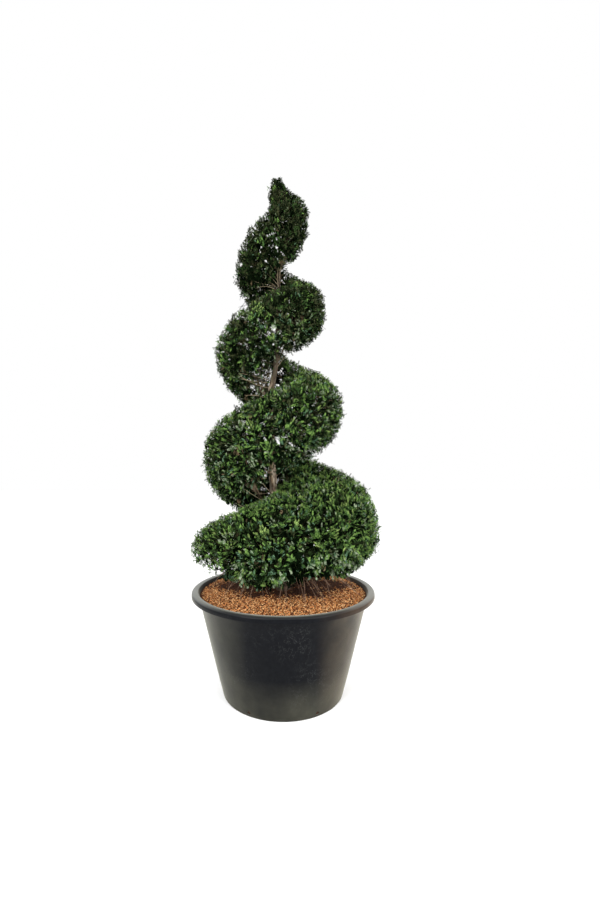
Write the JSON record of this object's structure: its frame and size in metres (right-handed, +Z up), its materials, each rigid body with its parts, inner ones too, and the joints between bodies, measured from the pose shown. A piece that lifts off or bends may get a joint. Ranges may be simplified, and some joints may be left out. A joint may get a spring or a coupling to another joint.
{
  "type": "spiral topiary",
  "caption": "Clipped evergreen spiral topiary: a ribbon of short-needled foliage that winds up a bare trunk, in a round rimmed planter filled with husk mulch.",
  "frame": {"origin": "centre of the planter's flat underside, at ground level", "axes": "+Z up along the planter's axis; -Y towards the front, the side that the picture shows; +X to the right as seen from the front"},
  "size_m": [1.1965, 1.2303, 3.466],
  "materials": {
    "planter": "satin moulded black plastic with dust and fine scuffs",
    "root_ball": "rough peaty substrate, hidden under the mulch",
    "mulch": "loose orange-brown husks",
    "bark": "flaky tan and reddish-brown bark",
    "needles": "short dark green needles, lighter on the clipped top, grey-green beneath"
  },
  "bodies": {
    "root": {"planter": "planter", "root_ball": "root_ball", "husk_mulch": "mulch", "trunk": "bark", "bough_01": "bark", "bough_02": "bark", "bough_03": "bark", "bough_04": "bark", "bough_05": "bark", "bough_06": "bark", "bough_07": "bark", "bough_08": "bark", "bough_09": "bark", "bough_10": "bark", "bough_11": "bark", "bough_12": "bark", "bough_13": "bark", "bough_14": "bark", "bough_15": "bark", "foliage_01": "needles", "foliage_02": "needles", "foliage_03": "needles", "foliage_04": "needles", "foliage_05": "needles", "foliage_06": "needles", "foliage_07": "needles", "foliage_08": "needles", "foliage_09": "needles", "foliage_10": "needles", "foliage_11": "needles", "foliage_12": "needles", "foliage_13": "needles", "foliage_14": "needles", "foliage_15": "needles", "leader_tuft": "needles"}
  },
  "joints": []
}
